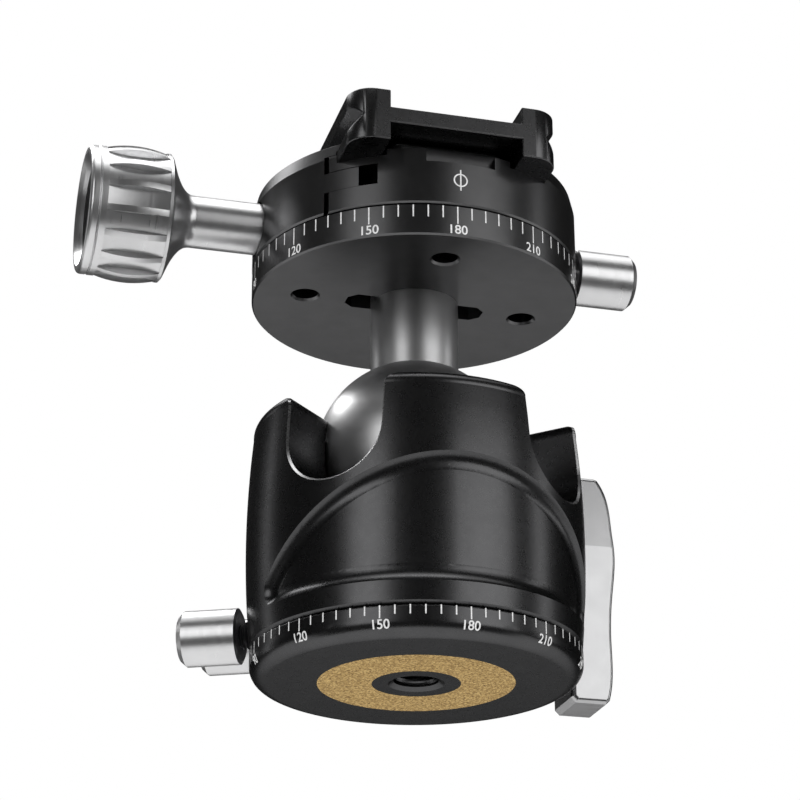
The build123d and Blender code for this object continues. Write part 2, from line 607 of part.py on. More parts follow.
# Knob of the clamp screw: neck, hollow flare, a crowned and ribbed grip between two bands, and a dished end.
knob_x = clamp_r + 32.0
grip_a, grip_b = clamp_r + 17.8, clamp_r + 28.9
grip_mid = (grip_a + grip_b) / 2
knob_flare = Spline(
    (knob_neck_r, grip_a - 5.8), (5.4, grip_a - 4.1), (7.6, grip_a - 2.5), (11.3, grip_a - 0.9),
    tangents=[(0, 1), (1, 0.4)],
)
knob_front = Polyline(
    knob_flare @ 1, (knob_band_r, grip_a - 0.55), (knob_band_r, grip_a), (knob_floor_r + 0.3, grip_a)
)
knob_floor = ThreePointArc(knob_front @ 1, (knob_floor_r, grip_mid), (knob_floor_r + 0.3, grip_b))
knob_back = Polyline(
    knob_floor @ 1, (knob_band_r, grip_b), (knob_band_r, grip_b + 1.1), (knob_band_r - 0.35, grip_b + 1.3),
    (knob_band_r - 0.05, grip_b + 1.55), (knob_band_r - 0.05, knob_x - 0.75),
)
knob_lip = RadiusArc(knob_back @ 1, (knob_band_r - 0.8, knob_x), -0.75)
knob_end = Polyline(
    knob_lip @ 1, (10.3, knob_x), (9.6, knob_x - 0.7), (8.3, knob_x - 2.2), (0, knob_x - 2.2), (0, -neck_seat),
    (knob_neck_r, -neck_seat), (knob_neck_r, grip_a - 5.8),
)
on_knob = Plane(origin=(0, 0, screw_z), z_dir=(-1, 0, 0))
knob_line = knob_flare + knob_front + knob_floor + knob_back + knob_lip + knob_end
knob = on_knob * revolve(make_face(Plane.XZ * knob_line), Axis.Z)
crest = ThreePointArc((knob_band_r - 0.2, grip_a - 0.1), (knob_r, grip_mid), (knob_band_r - 0.2, grip_b + 0.1))
crest_line = crest + Polyline(crest @ 1, (5, grip_b + 0.1), (5, grip_a - 0.1), crest @ 0)
crown_body = revolve(make_face(Plane.XZ * crest_line), Axis.Z)
rib_plates = []
for i in range(knob_ribs // 2):
    rib_plates.append(Rot(0, 0, 360 / knob_ribs * i) * Pos(0, 0, knob_x - 16) * Box(40, rib_w, 32))
rib_star = rib_plates[0].fuse(*rib_plates[1:])
knob += on_knob * (crown_body & rib_star)
clamp_knob = knob - rod(clamp_screw_r, (0, 0, screw_z), (neck_seat - 8, 0, screw_z))
clamp_screw = rod(clamp_screw_r, (screw_end - 0.3, 0, screw_z), (neck_seat - 8, 0, screw_z))
clamp_knob_cap = rod(8.3, (1.3 - knob_x, 0, screw_z), (2.2 - knob_x, 0, screw_z))

# Lock of the clamp's pan, on the right: plain knob, screw and a pointed shoe in the hub's groove.


def side_line(d):
    return (d, 0, side_z)


side_knob_d = clamp_r + 1.0
side_tip = pan_flange_r - vee + 0.8
side_end = side_tip + 5.0
clamp_pan_knob, clamp_pan_cap = small_knob(side_line, side_knob_d, side_screw_r, side_knob_r, side_knob_len)
clamp_pan_screw = rod(side_screw_r, side_line(side_end), side_line(side_knob_d + side_knob_len - 1.2))
side_len = side_end - side_tip
side_profile = [(0, 0), (0.4, 0), (side_screw_r, side_screw_r - 0.4), (side_screw_r, side_len), (0, side_len)]
clamp_pan_shoe = turned(side_profile, side_line(side_tip), (1, 0, 0))
clamp_body -= rod(side_screw_r + run, side_line(0), side_line(99))

# ================================================================ plate
z0 = rail_floor
half_w = plate_w / 2
section = [
    (-half_w, 0), (-half_w, vee_up - vee_depth), (-half_w + vee_depth, vee_up), (-half_w, vee_up + vee_depth),
    (-half_w, plate_h), (-half_w + rail_w, plate_h), (-half_w + rail_w, web_high), (half_w - rail_w, web_high),
    (half_w - rail_w, plate_h), (half_w, plate_h), (half_w, vee_up + vee_depth), (half_w - vee_depth, vee_up),
    (half_w, vee_up - vee_depth), (half_w, 0), (half_w - rail_w, 0), (half_w - rail_w, web_low),
    (-half_w + rail_w, web_low), (-half_w + rail_w, 0),
]
plate_face = make_face(Plane.XZ * Polyline(*[(plate_shift + x, z0 + z) for x, z in section], close=True))
quick_plate = extrude(Pos(0, -plate_len / 2, 0) * plate_face, plate_len, dir=(0, 1, 0))
plan = RectangleRounded(plate_w, plate_len, 4.5)
quick_plate &= extrude(Pos(plate_shift, 0, z0 - 1) * plan, plate_h + 2)
quick_plate -= post(camera_r + run, 0, 199, plate_shift, 0)
pad_half = half_w - rail_w - 0.4
pad_low, pad_high = z0 + web_high, z0 + plate_h - 0.1
grip_pads = []
for s in (-1, 1):
    y0, y1 = sorted((s * 8.5, s * (plate_len / 2 - 4.5)))
    grip_pads.append(block(plate_shift - pad_half, plate_shift + pad_half, y0, y1, pad_low, pad_low + 1.6))
camera_screw = post(camera_r, z0 + web_high + 0.1, z0 + plate_h + camera_proud, plate_shift, 0)
camera_screw = chamfer(camera_screw.edges().filter_by(GeomType.CIRCLE).sort_by(Axis.Z)[-1], 0.6)
camera_screw += post(camera_neck_r, z0 + web_low - 1, z0 + web_high + 0.1, plate_shift, 0)
camera_screw += post(screw_head_r, z0 + web_low - screw_head_t, z0 + web_low, plate_shift, 0)
camera_screw -= block(plate_shift - 5.5, plate_shift + 5.5, -0.6, 0.6, 0, z0 + web_low - screw_head_t + 1.2)

# ================================================================ files
nodes = {
    "base_plate": base_plate,
    "cork_pad": cork_pad,
    "slip_washer": slip_washer,
    "brake_collar": brake_collar,
    "collar_screws": Compound(collar_screws),
    "ball_housing": ball_housing,
    "floor_plate": floor_plate,
    "floor_screws": Compound(floor_screws),
    "seat_block": seat_block,
    "seat_liner": seat_liner,
    "fixed_cotter": fixed_cotter,
    "moving_cotter": moving_cotter,
    "cotter_ring": cotter_ring,
    "lock_spindle": lock_spindle,
    "thrust_washer": thrust_washer,
    "lock_lever": lock_lever,
    "lever_screw": lever_screw,
    "pan_lock_knob": pan_lock_knob,
    "pan_lock_cap": pan_lock_cap,
    "pan_lock_screw": pan_lock_screw,
    "pan_shoe": pan_shoe,
    "friction_knob": friction_knob,
    "friction_cap": friction_cap,
    "friction_screw": friction_screw,
    "friction_tip": friction_tip,
    "ball_stem": ball_stem,
    "clamp_base": clamp_base,
    "stem_bolt": stem_bolt,
    "pan_hub": pan_hub,
    "pan_retainer": pan_retainer,
    "retainer_screws": Compound(retainer_screws),
    "clamp_body": clamp_body,
    "moving_jaw": moving_jaw,
    "jaw_pins": Compound(jaw_pins),
    "jaw_springs": Compound(jaw_springs),
    "clamp_knob": clamp_knob,
    "clamp_screw": clamp_screw,
    "clamp_knob_cap": clamp_knob_cap,
    "clamp_pan_knob": clamp_pan_knob,
    "clamp_pan_cap": clamp_pan_cap,
    "clamp_pan_screw": clamp_pan_screw,
    "clamp_pan_shoe": clamp_pan_shoe,
    "quick_plate": quick_plate,
    "grip_pads": Compound(grip_pads),
    "camera_screw": camera_screw,
}

os.makedirs("parts", exist_ok=True)
for name, shape in nodes.items():
    export_step(shape, f"parts/{name}.step")
    print(name, len(shape.solids()), round(shape.volume, 1))
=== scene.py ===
import bpy
import bmesh
import json
import math
from mathutils import Matrix, Vector


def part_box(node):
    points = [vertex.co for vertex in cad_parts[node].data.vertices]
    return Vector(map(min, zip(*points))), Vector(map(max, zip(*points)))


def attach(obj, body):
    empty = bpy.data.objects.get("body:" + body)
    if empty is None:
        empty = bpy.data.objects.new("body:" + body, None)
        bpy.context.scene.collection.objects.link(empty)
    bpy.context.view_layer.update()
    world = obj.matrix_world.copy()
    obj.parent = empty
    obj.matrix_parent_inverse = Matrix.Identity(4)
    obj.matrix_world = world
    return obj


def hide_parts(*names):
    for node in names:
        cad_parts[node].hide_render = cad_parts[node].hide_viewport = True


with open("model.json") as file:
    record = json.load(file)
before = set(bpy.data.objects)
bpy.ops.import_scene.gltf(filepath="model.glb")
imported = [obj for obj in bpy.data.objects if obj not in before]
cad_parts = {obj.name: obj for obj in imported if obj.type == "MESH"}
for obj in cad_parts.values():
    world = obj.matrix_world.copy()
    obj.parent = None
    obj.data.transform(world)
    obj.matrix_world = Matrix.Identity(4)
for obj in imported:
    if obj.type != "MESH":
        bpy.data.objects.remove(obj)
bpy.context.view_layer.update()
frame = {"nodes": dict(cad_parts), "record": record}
nodes = frame["nodes"]
joints = {j["name"]: j for j in frame["record"]["behaviour"]["joints"]}
scene = bpy.context.scene
MM = 0.001                             # sizes of the object are in mm, those of the stage in metres


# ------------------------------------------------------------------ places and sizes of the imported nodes
def span(node):
    """Lowest and highest corner of a node."""
    lo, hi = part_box(node)
    return Vector(lo) / MM, Vector(hi) / MM


def reach(node, origin, axis):
    """Lowest and highest place of a node along an axis, counted from origin."""
    lo, hi = math.inf, -math.inf
    for v in nodes[node].data.vertices:
        h = (v.co / MM - origin).dot(axis)
        lo, hi = min(lo, h), max(hi, h)
    return lo, hi


BASE_R = span("base_plate")[1].x
BASE_T = 5.0                           # height of the base ring
BASE_ROUND = 2.7                       # rounding of its lower edge
DISC_R, DISC_TOP = span("clamp_base")[1].x, span("clamp_base")[1].z
CLAMP_R = span("clamp_body")[1].y
plate_lo, plate_hi = span("quick_plate")
PLATE_X = (plate_lo.x + plate_hi.x) / 2


# ------------------------------------------------------------------ camera
LENS, SENSOR = 109.66, 36.0
CLIP_NEAR, CLIP_FAR = 0.01, 20         # metres
CAMERA_TURN = -15.6                    # degrees round the object, from straight in front
CAMERA_PLACE = (0, -407.3, -119.3)     # before that turn
CAMERA_AIM = (0, 407.3, 168.6)         # from that place to the point it looks at
CAMERA_TRIM = (("Z", 0.334), ("X", -0.487), ("Y", -0.343))  # degrees about its own axes


def place_camera():
    cam = bpy.data.cameras.new("camera")
    cam.lens, cam.sensor_width = LENS, SENSOR
    cam.clip_start, cam.clip_end = CLIP_NEAR, CLIP_FAR
    obj = bpy.data.objects.new("camera", cam)
    scene.collection.objects.link(obj)
    turn = Matrix.Rotation(math.radians(CAMERA_TURN), 3, "Z")
    place = turn @ Vector(CAMERA_PLACE)
    ahead = (turn @ Vector(CAMERA_AIM)).normalized()
    right = ahead.cross(Vector((0, 0, 1))).normalized()
    up = right.cross(ahead)
    look = Matrix((right, up, -ahead))
    trim = Matrix.Identity(3)
    for axis, degrees in CAMERA_TRIM:
        trim = trim @ Matrix.Rotation(math.radians(degrees), 3, axis)
    obj.matrix_world = Matrix.Translation(place * MM) @ (trim @ look).transposed().to_4x4()
    scene.camera = obj
    return obj


camera = place_camera()


# ------------------------------------------------------------------ materials
# Noise scales are per metre, the depths of bumps are in metres.
def new_material(name):
    """Material with one Principled shader, still without a colour."""
    mat = bpy.data.materials.new(name)
    mat.use_nodes = True
    tree = mat.node_tree
    tree.nodes.clear()
    out = tree.nodes.new("ShaderNodeOutputMaterial")
    shader = tree.nodes.new("ShaderNodeBsdfPrincipled")
    tree.links.new(shader.outputs[0], out.inputs[0])
    return mat, tree, shader


def coords(tree, scale=(1, 1, 1)):
    tex = tree.nodes.new("ShaderNodeTexCoord")
    mapping = tree.nodes.new("ShaderNodeMapping")
    mapping.inputs["Scale"].default_value = scale
    tree.links.new(tex.outputs["Object"], mapping.inputs[0])
    return mapping.outputs[0]


def noise(tree, vector, scale, detail=2.0, rough=0.5):
    node = tree.nodes.new("ShaderNodeTexNoise")
    node.inputs["Scale"].default_value = scale
    node.inputs["Detail"].default_value = detail
    node.inputs["Roughness"].default_value = rough
    tree.links.new(vector, node.inputs["Vector"])
    return node.outputs[0]


def ramp(tree, value, places, colours):
    """Colour ramp with a colour at each of its places."""
    node = tree.nodes.new("ShaderNodeValToRGB")
    while len(node.color_ramp.elements) < len(places):
        node.color_ramp.elements.new(0.5)
    for element, place, colour in zip(node.color_ramp.elements, places, colours):
        element.position = place
        element.color = (*colour, 1)
    tree.links.new(value, node.inputs[0])
    return node.outputs[0]


def grey(v):
    return (v, v, v)


def shade(colour, k):
    return tuple(min(1.0, c * k) for c in colour)


def tone(tree, shader, value, colour, darkest, lightest, places=(0.3, 0.7)):
    """Base colour that wanders between two shades of one colour."""
    out = ramp(tree, value, places, (shade(colour, darkest), shade(colour, lightest)))
    tree.links.new(out, shader.inputs["Base Color"])


def gloss(tree, shader, value, rough, spread, places=(0.3, 0.7)):
    """Roughness that wanders by spread to either side of rough."""
    out = ramp(tree, value, places, (grey(rough - spread), grey(rough + spread)))
    tree.links.new(out, shader.inputs["Roughness"])


def bump(tree, shader, height, strength, distance):
    node = tree.nodes.new("ShaderNodeBump")
    node.inputs["Strength"].default_value = strength
    node.inputs["Distance"].default_value = distance
    tree.links.new(height, node.inputs["Height"])
    tree.links.new(node.outputs[0], shader.inputs["Normal"])


GRAZING_TINT = (0.48, 0.48, 0.48, 1)   # what the black metal still mirrors at a grazing angle


def anodised(name, colour, rough, spread=0.012):
    """Bead-blasted black anodising: nearly black, a fine grain and small changes of gloss."""
    mat, tree, shader = new_material(name)
    vec = coords(tree)
    clouds, patches, blasted = (noise(tree, vec, *sizes) for sizes in ((260, 3), (900, 2), (6000, 2)))
    shader.inputs["Metallic"].default_value = 1.0
    shader.inputs["Specular Tint"].default_value = GRAZING_TINT
    tone(tree, shader, clouds, colour, 0.95, 1.05)
    gloss(tree, shader, patches, rough, spread)
    bump(tree, shader, blasted, 0.2, 0.00002)
    return mat


def turned_metal(name, colour, rough, spread, axis, streak=1800.0, lift=0.000004, metallic=1.0):
    """Turned or brushed metal: fine lines that run round the axis, and faint clouds."""
    mat, tree, shader = new_material(name)
    scale = [0.04, 0.04, 0.04]         # draws the noise out into lines
    scale[axis] = 1.0
    lines = noise(tree, coords(tree, scale), streak, 4, 0.65)
    clouds = noise(tree, coords(tree), 180, 2)
    shader.inputs["Metallic"].default_value = metallic
    tone(tree, shader, clouds, colour, 0.96, 1.03)
    gloss(tree, shader, lines, rough, spread, (0.25, 0.75))
    bump(tree, shader, lines, 0.35, lift)
    return mat


CORK_GRAINS, CORK_PITS = 2600, 1900    # noise scales
GRAIN_COLOURS = ((0.34, 0.21, 0.058), (0.50, 0.32, 0.105), (0.68, 0.47, 0.175))
SPECK_COLOUR = (0.15, 0.075, 0.016)
SPECK_SHARE = 0.85                     # how strongly the specks darken the grains


def cork(name):
    """Pressed cork: grains in three tones, with dark specks among them."""
    mat, tree, shader = new_material(name)
    vec = coords(tree)
    cells = tree.nodes.new("ShaderNodeTexVoronoi")
    cells.inputs["Scale"].default_value = CORK_GRAINS
    tree.links.new(vec, cells.inputs["Vector"])
    grains = ramp(tree, cells.outputs["Color"], (0.15, 0.5, 0.85), GRAIN_COLOURS)
    specks = ramp(tree, noise(tree, vec, CORK_GRAINS, 3, 0.7), (0.40, 0.47), (SPECK_COLOUR, grey(1)))
    mix = tree.nodes.new("ShaderNodeMix")
    mix.data_type, mix.blend_type = "RGBA", "MULTIPLY"
    mix.inputs[0].default_value = SPECK_SHARE
    tree.links.new(grains, mix.inputs[6])
    tree.links.new(specks, mix.inputs[7])
    tree.links.new(mix.outputs[2], shader.inputs["Base Color"])
    shader.inputs["Roughness"].default_value = 0.85
    bump(tree, shader, noise(tree, vec, CORK_PITS, 3), 0.5, 0.00008)
    return mat


def dull(name, colour, rough, grain, depth, spread=0.05):
    """Matt rubber, plastic or ink: a fine grain, with wider clouds and patches of gloss."""
    mat, tree, shader = new_material(name)
    vec = coords(tree)
    tone(tree, shader, noise(tree, vec, grain / 4, 3), colour, 0.85, 1.12)
    gloss(tree, shader, noise(tree, vec, grain / 3, 2), rough, spread)
    bump(tree, shader, noise(tree, vec, grain, 2), 0.4, depth)
    return mat


X, Y, Z = 0, 1, 2                      # axis that the fine lines run round
BLACK = anodised("black_anodised", (0.092, 0.092, 0.094), 0.28)
# lighter copy of the black anodising for the clamp parts: painted light, which makes their highlights
# brighter
BLACK_PAINTED_LIGHT = anodised("black_anodised_painted_light", (0.150, 0.150, 0.152), 0.29)
BLACK_GLOSS = anodised("black_anodised_plate", (0.112, 0.112, 0.114), 0.28)
SILVER_X = turned_metal("silver_satin_x", (0.76, 0.76, 0.765), 0.31, 0.05, X)
SILVER_Y = turned_metal("silver_satin_y", (0.51, 0.51, 0.515), 0.24, 0.04, Y)
SILVER_Z = turned_metal("silver_satin_z", (0.50, 0.50, 0.505), 0.26, 0.05, Z)
BALL = turned_metal("ball_steel", (0.66, 0.66, 0.665), 0.37, 0.04, Z, 2400.0, 0.000002)
STEEL = turned_metal("screw_steel", (0.56, 0.56, 0.57), 0.30, 0.05, Z)
BLACK_STEEL = turned_metal("black_steel", (0.035, 0.035, 0.037), 0.42, 0.05, X, metallic=0.6)
BRASS = turned_metal("brass", (0.60, 0.43, 0.19), 0.35, 0.05, X)
CORK = cork("cork")
# brighter metal for the chamfers that do not face down: a painted highlight on the edges
PAINTED_EDGE_HIGHLIGHT = turned_metal("painted_edge_highlight", (0.45, 0.45, 0.455), 0.28, 0.03, Z)
RUBBER = dull("rubber", (0.022, 0.022, 0.022), 0.72, 4000, 0.00003)
NYLON = dull("nylon", (0.72, 0.70, 0.65), 0.5, 3000, 0.00002)
INK = dull("white_ink", (0.80, 0.80, 0.80), 0.55, 6000, 0.000004)

FINISH = (
    (BLACK, "base_plate ball_housing clamp_knob_cap"),
    (BLACK_PAINTED_LIGHT, "clamp_base clamp_body moving_jaw"),
    (BLACK_GLOSS, "quick_plate"),
    (BLACK_STEEL, "pan_lock_screw friction_screw"),
    (SILVER_X, "pan_lock_knob friction_knob clamp_pan_knob clamp_knob"),
    (SILVER_Y, "lock_lever"),
    (SILVER_Z, "floor_plate seat_block pan_retainer"),
    (BALL, "ball_stem"),
    (STEEL, "brake_collar collar_screws floor_screws lock_spindle lever_screw pan_lock_cap friction_cap"),
    (STEEL, "stem_bolt pan_hub retainer_screws clamp_pan_cap clamp_pan_screw jaw_pins jaw_springs"),
    (STEEL, "clamp_screw camera_screw"),
    (BRASS, "fixed_cotter moving_cotter pan_shoe clamp_pan_shoe"),
    (NYLON, "slip_washer seat_liner thrust_washer friction_tip"),
    (RUBBER, "cotter_ring grip_pads"),
    (CORK, "cork_pad"),
)
for mat, names in FINISH:
    for name in names.split():
        data = nodes[name].data
        data.materials.clear()
        data.materials.append(mat)


# ------------------------------------------------------------------ broken edges and painted edge highlights
def round_edges(obj, width=0.22):
    """Small rounding of a machined piece's sharp edges, which catches the light."""
    weld = obj.modifiers.new("weld", "WELD")
    weld.merge_threshold = 0.000002
    flat = obj.modifiers.new("flat", "DECIMATE")
    flat.decimate_type = "DISSOLVE"
    flat.angle_limit = math.radians(0.5)
    bevel = obj.modifiers.new("bevel", "BEVEL")
    bevel.width = width * MM
    bevel.segments = 3
    bevel.limit_method = "ANGLE"
    bevel.angle_limit = math.radians(32)
    bevel.harden_normals = True


round_edges(nodes["quick_plate"])

CHAMFER_TURN = 30, 60                  # degrees between a chamfer and the face beside it
CHAMFER_WIDEST = 0.62
CHAMFER_LOWEST = -0.3                  # a chamfer whose normal has a lower z than this gets no painted highlight and stays black
MICRONS = 1e6                          # in a metre


def bare_chamfers(node):
    """Gives the narrow chamfers of a node that do not face down a brighter metal, which is a painted
    highlight.
    """
    mesh = nodes[node].data
    # the mesh is split along its sharp edges, so corners at one place share a key
    place = {}
    keys = []
    for v in mesh.vertices:
        spot = tuple(round(c * MICRONS) for c in v.co)
        keys.append(place.setdefault(spot, len(place)))
    sides = {}
    for face in mesh.polygons:
        corners = [keys[i] for i in face.vertices]
        for i, k in enumerate(corners):
            pair = (k, corners[i - 1])
            sides.setdefault((min(pair), max(pair)), []).append(face.index)
    creases = {}
    for pair, faces in sides.items():
        if len(faces) != 2:
            continue
        one, two = (mesh.polygons[f] for f in faces)
        if one.normal.length < 0.5 or two.normal.length < 0.5:  # a face without area
            continue
        turn = math.degrees(one.normal.angle(two.normal))
        outward = one.normal.dot(two.center - one.center) < 0
        if CHAMFER_TURN[0] < turn < CHAMFER_TURN[1] and outward:
            creases[pair] = faces
    rims = {k for pair in creases for k in pair}
    mesh.materials.append(PAINTED_EDGE_HIGHLIGHT)
    # a chamfer's triangle has one side on a crease and its third corner on the other crease
    for pair, faces in creases.items():
        for f in faces:
            face = mesh.polygons[f]
            far = [i for i in face.vertices if keys[i] not in pair]
            near = [i for i in face.vertices if keys[i] in pair]
            if len(far) != 1 or len(near) != 2 or keys[far[0]] not in rims:
                continue
            a, b = (mesh.vertices[i].co for i in near)
            c = mesh.vertices[far[0]].co
            if face.normal.z <= CHAMFER_LOWEST or (b - a).length == 0:
                continue
            width = (c - a).cross((b - a).normalized()).length
            if width < CHAMFER_WIDEST * MM:
                face.material_index = 1


# painted highlights on the chamfers of these two nodes
for name in ("ball_housing", "base_plate"):
    bare_chamfers(name)


# ------------------------------------------------------------------ markings
def add_mesh(name, verts, faces, mat, body, slot, smooth=False):
    """New piece from points in mm, which rides on a body."""
    mesh = bpy.data.meshes.new(name)
    mesh.from_pydata([Vector(v) * MM for v in verts], [], faces)
    mesh.materials.append(mat)
    if smooth:
        mesh.shade_smooth()
    obj = bpy.data.objects.new(name, mesh)
    scene.collection.objects.link(obj)
    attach(obj, body)
    return obj


def base_point(az, s, lift):
    """Point on the base ring: s runs down its side from the top edge and round the lower fillet."""
    straight = BASE_T - BASE_ROUND
    if s <= straight:
        r, z = BASE_R, BASE_T - s
        n = (1, 0)
    else:
        a = (s - straight) / BASE_ROUND
        r, z = BASE_R - BASE_ROUND + BASE_ROUND * math.cos(a), BASE_ROUND - BASE_ROUND * math.sin(a)
        n = (math.cos(a), -math.sin(a))
    r, z = r + n[0] * lift, z + n[1] * lift
    return r * math.sin(az), -r * math.cos(az), z


def disc_point(az, s, lift):
    """Point on the disc's side, s below its top."""
    r = DISC_R + lift
    return r * math.sin(az), -r * math.cos(az), DISC_TOP - s


def clamp_point(az, z, lift):
    """Point on the clamp's side, at height z."""
    r = CLAMP_R + lift
    return r * math.sin(az), -r * math.cos(az), z


TICK_STEP, NUMBER_STEP = 5, 30         # degrees
TICK_WIDTH = 0.24
TICK_ROWS = 6                          # quads along a tick, which follow the fillet
INK_LIFT = 0.03                        # the ink lies this far above the metal


def ticks(point, radius, zero, top, minor, major):
    """Degree marks: minor is their length, major that of the numbered ones."""
    verts, faces = [], []
    half = TICK_WIDTH / 2 / radius
    for degrees in range(0, 360, TICK_STEP):
        az = math.radians(zero + degrees)
        length = minor if degrees % NUMBER_STEP else major
        start = len(verts)
        for j in range(TICK_ROWS + 1):
            s = top + length * j / TICK_ROWS
            verts += [point(az - half, s, INK_LIFT), point(az + half, s, INK_LIFT)]
        for j in range(TICK_ROWS):
            k = start + 2 * j
            faces.append((k, k + 2, k + 3, k + 1))
    return verts, faces


STROKE_OFFSET = 0.014                  # makes the strokes bolder, for text of size 1
SLIVER = 0.0005                        # edges shorter than this are dissolved, for text of size 1
GLYPH_GRID = 0.22


def glyphs(text, height):
    """Mesh of a text with digits of this height, centred on x and hanging down from y 0."""
    curve = bpy.data.curves.new("t", "FONT")
    curve.body = text
    curve.align_x = "CENTER"
    curve.size = 1.0
    curve.offset = STROKE_OFFSET
    obj = bpy.data.objects.new("t", curve)
    mesh = bpy.data.meshes.new_from_object(obj)
    bm = bmesh.new()
    bm.from_mesh(mesh)
    bmesh.ops.triangulate(bm, faces=bm.faces)
    top = max(v.co.y for v in bm.verts)
    low = min(v.co.y for v in bm.verts)
    left = min(v.co.x for v in bm.verts)
    right = max(v.co.x for v in bm.verts)
    k = height / (top - low)
    # cut by a fine grid, so that the shape follows the curved surface it is printed on
    step = GLYPH_GRID / k
    for axis, lo, hi in ((Vector((1, 0, 0)), left, right), (Vector((0, 1, 0)), low, top)):
        for i in range(1, math.ceil((hi - lo) / step)):
            geom = bm.verts[:] + bm.edges[:] + bm.faces[:]
            bmesh.ops.bisect_plane(bm, geom=geom, plane_co=axis * (lo + i * step), plane_no=axis)
    bmesh.ops.dissolve_degenerate(bm, dist=SLIVER, edges=bm.edges)
    verts = [(v.co.x * k, (top - v.co.y) * k) for v in bm.verts]
    faces = [tuple(v.index for v in f.verts) for f in bm.faces]
    bm.free()
    bpy.data.objects.remove(obj)
    bpy.data.curves.remove(curve)
    bpy.data.meshes.remove(mesh)
    return verts, faces


def numbers(point, radius, zero, top, height):
    """Degree numbers, each centred under its tick."""
    verts, faces = [], []
    for degrees in range(0, 360, NUMBER_STEP):
        az = math.radians(zero + degrees)
        shape, cells = glyphs(str(degrees), height)
        start = len(verts)
        verts += [point(az + x / radius, top + y, INK_LIFT) for x, y in shape]
        faces += [tuple(start + k for k in cell) for cell in cells]
    return verts, faces


# zero is the place of the mark 0 in degrees from straight in front, top a distance below the upper edge
base_scale = dict(point=base_point, radius=BASE_R, zero=2.64 - 180)
disc_scale = dict(point=disc_point, radius=DISC_R, zero=-0.66 - 180)
add_mesh("base_ticks", *ticks(**base_scale, top=0.02, minor=1.6, major=2.2), INK, "base", "plastic")
add_mesh("base_numbers", *numbers(**base_scale, top=2.38, height=1.62), INK, "base", "plastic")
add_mesh("disc_ticks", *ticks(**disc_scale, top=0.32, minor=2.3, major=3.3), INK, "stem", "plastic")
add_mesh("disc_numbers", *numbers(**disc_scale, top=3.85, height=1.75), INK, "stem", "plastic")

INDEX_TURN, INDEX_Z = 0.5, 82.9        # degrees from straight in front, and height
INDEX_RING = 1.3                       # outer radius of the ring
INDEX_LINE = 2.05                      # half the line's length
INDEX_STROKE = 0.26
INDEX_COUNT = 48
LINE_LIFT = 0.045                      # the line lies above the ring that it crosses


def index_mark():
    """Ring with an upright line through it, which the disc's scale is read against."""
    verts, faces = [], []

    def put(x, z, lift):
        verts.append(clamp_point(math.radians(INDEX_TURN) + x / CLAMP_R, INDEX_Z + z, lift))

    for i in range(INDEX_COUNT):
        a = 2 * math.pi * i / INDEX_COUNT
        for r in (INDEX_RING - INDEX_STROKE, INDEX_RING):
            put(r * math.cos(a), r * math.sin(a), INK_LIFT)
        k, m = 2 * i, 2 * ((i + 1) % INDEX_COUNT)
        faces.append((k, k + 1, m + 1, m))
    k = len(verts)
    for x, z in ((-1, -1), (1, -1), (1, 1), (-1, 1)):
        put(x * INDEX_STROKE / 2, z * INDEX_LINE, LINE_LIFT)
    faces.append((k, k + 1, k + 2, k + 3))
    return verts, faces


add_mesh("index_mark", *index_mark(), INK, "clamp", "plastic")


# ------------------------------------------------------------------ turned pieces and threads
def rings(origin, axis, profile, count):
    """Rings of points round an axis, one for each (radius, height); radius may depend on the turn."""
    side = axis.orthogonal().normalized()
    other = axis.cross(side)
    verts = []
    for r, h in profile:
        for i in range(count):
            a = 2 * math.pi * i / count
            width = r(i / count) if callable(r) else r
            verts.append(origin + axis * h + (side * math.cos(a) + other * math.sin(a)) * width)
    return verts


def skin(rows, count):
    """Quads between rings of points."""
    faces = []
    for j in range(rows - 1):
        for i in range(count):
            k, m = j * count + i, j * count + (i + 1) % count
            faces.append((k, m, m + count, k + count))
    return faces


def lathe(name, origin, axis, profile, mat, body, slot, count=48):
    """Turned piece from (radius, height) points along an axis."""
    verts = rings(Vector(origin), Vector(axis).normalized(), profile, count)
    obj = add_mesh(name, verts, skin(len(profile), count), mat, body, slot, smooth=True)
    bm = bmesh.new()
    bm.from_mesh(obj.data)
    bmesh.ops.remove_doubles(bm, verts=bm.verts, dist=1e-7)  # closes the ends on the axis
    bm.to_mesh(obj.data)
    bm.free()
    obj.data.set_sharp_from_angle(angle=math.radians(35))
    return obj


THREAD_COUNT = 36                      # points round a thread
THREAD_ROWS = 6                        # rings in one turn of it
THREAD_FLAT = 1.3, 0.15                # steepens the wave and cuts it off, for flat crests and roots
THREAD_RUNOUT = 0.6                    # turns over which it fades at each end


def thread(name, start, end, r_out, r_in, pitch, mat, body, slot, inward=False):
    """Screw thread as a helical V profile on a rod, or on the wall of a hole when inward."""
    start, end = Vector(start), Vector(end)
    length = (end - start).length
    axis = (end - start).normalized()
    steps = max(8, round(length / pitch * THREAD_ROWS))

    def radius_at(h):
        def radius(turn):
            phase = (h / pitch - turn) % 1.0
            wave = 1 - abs(2 * phase - 1)
            wave = min(1.0, max(0.0, wave * THREAD_FLAT[0] - THREAD_FLAT[1]))
            runout = pitch * THREAD_RUNOUT
            ridge = (r_out - r_in) * wave * min(1.0, h / runout, (length - h) / runout)
            return r_out - ridge if inward else r_in + ridge
        return radius

    heights = [length * j / steps for j in range(steps + 1)]
    verts = rings(start, axis, [(radius_at(h), h) for h in heights], THREAD_COUNT)
    faces = skin(len(heights), THREAD_COUNT)
    if inward:
        faces = [face[::-1] for face in faces]
    else:
        faces.append(tuple(reversed(range(THREAD_COUNT))))
        faces.append(tuple(range(steps * THREAD_COUNT, (steps + 1) * THREAD_COUNT)))
    add_mesh(name, verts, faces, mat, body, slot)


